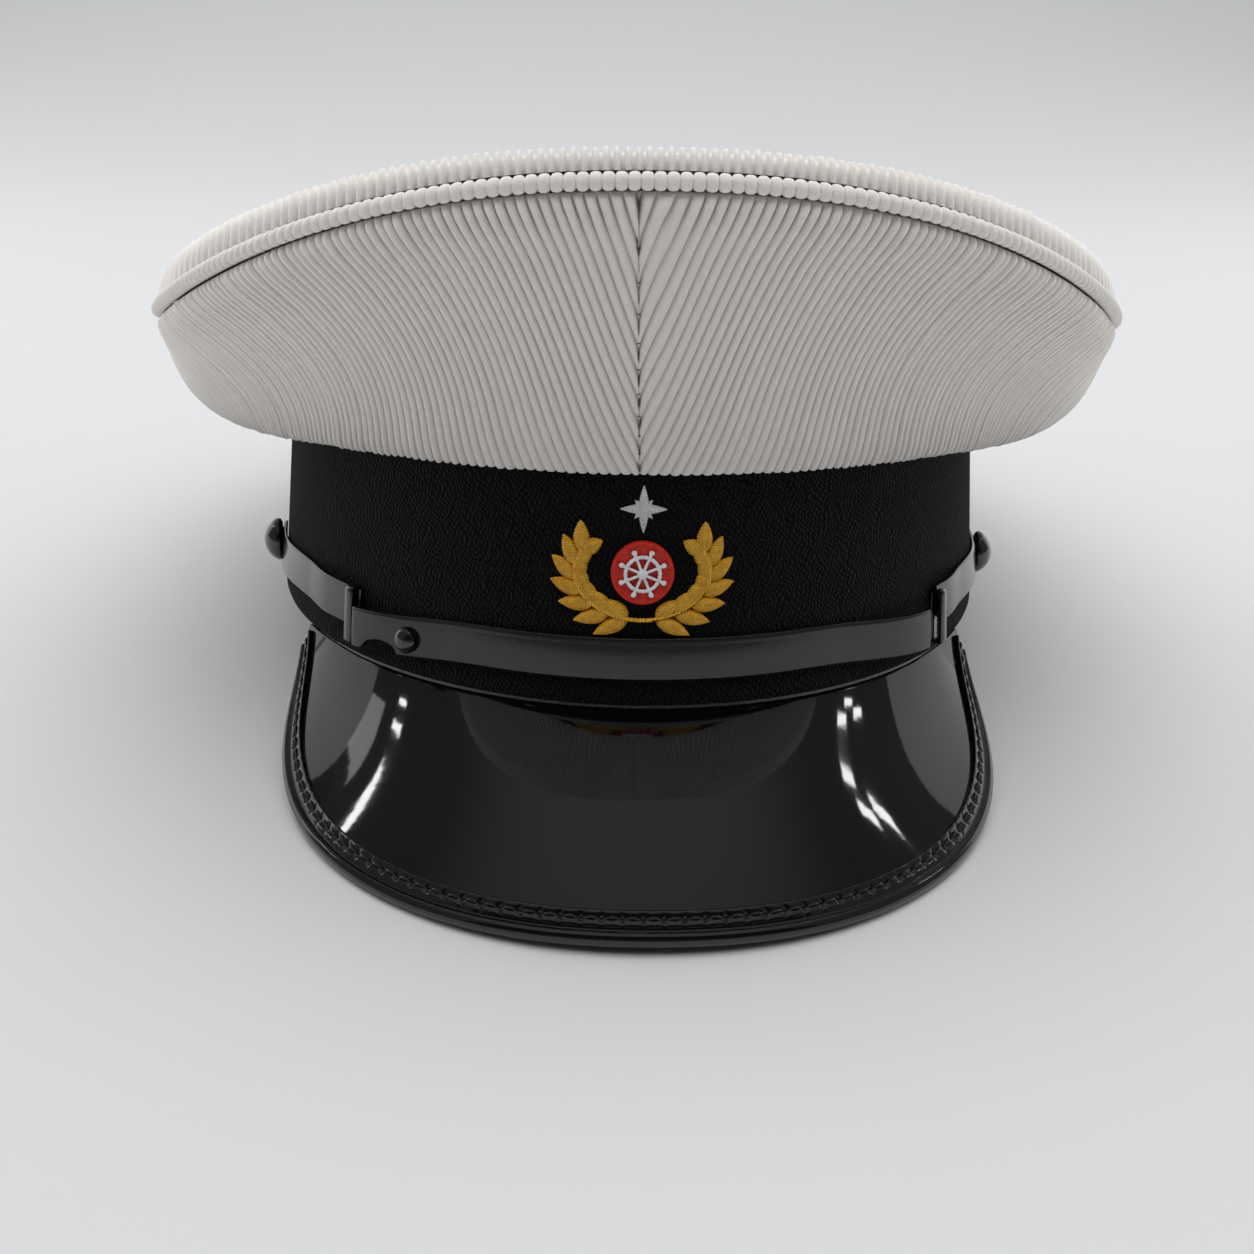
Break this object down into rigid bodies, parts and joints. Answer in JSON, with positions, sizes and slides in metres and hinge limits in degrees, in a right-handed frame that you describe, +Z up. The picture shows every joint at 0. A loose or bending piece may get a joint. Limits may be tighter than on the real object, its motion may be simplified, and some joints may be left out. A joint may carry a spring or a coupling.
{
  "type": "peaked cap",
  "caption": "Peaked cap with a ribbed white crown, black cloth band, raised badge, patent chin strap and sloping patent peak, open below.",
  "frame": {"origin": "on the floor, under the middle of the cap's bounding box, as the cap stands on its peak and the back of its band", "axes": "+Z up, -Y towards the front of the cap, where the peak is, and +X to the right as seen from the front"},
  "size_m": [0.2242, 0.2922, 0.1331],
  "materials": {
    "white_cloth": "ribbed white barathea, matt",
    "black_cloth": "black pebbled wool cloth, matt",
    "patent_leather": "black patent leather, mirror gloss",
    "strap_leather": "black patent strap leather, satin gloss",
    "black_enamel": "black enamel, glossy",
    "gold_thread": "golden satin-stitched thread",
    "red_thread": "red stitched thread",
    "white_thread": "white stitched thread"
  },
  "bodies": {
    "root": {"band": "black_cloth", "crown_top": "white_cloth", "crown_piping": "white_cloth", "crown_side_left": "white_cloth", "crown_side_right": "white_cloth", "peak": "patent_leather", "peak_binding": "strap_leather", "strap_front": "strap_leather", "strap_back_left": "strap_leather", "strap_back_right": "strap_leather", "keeper_left": "black_enamel", "keeper_right": "black_enamel", "button_left": "black_enamel", "button_right": "black_enamel", "strap_stud": "black_enamel", "badge_wreath": "gold_thread", "badge_roundel": "red_thread", "badge_wheel": "white_thread", "badge_star": "white_thread"}
  },
  "joints": []
}
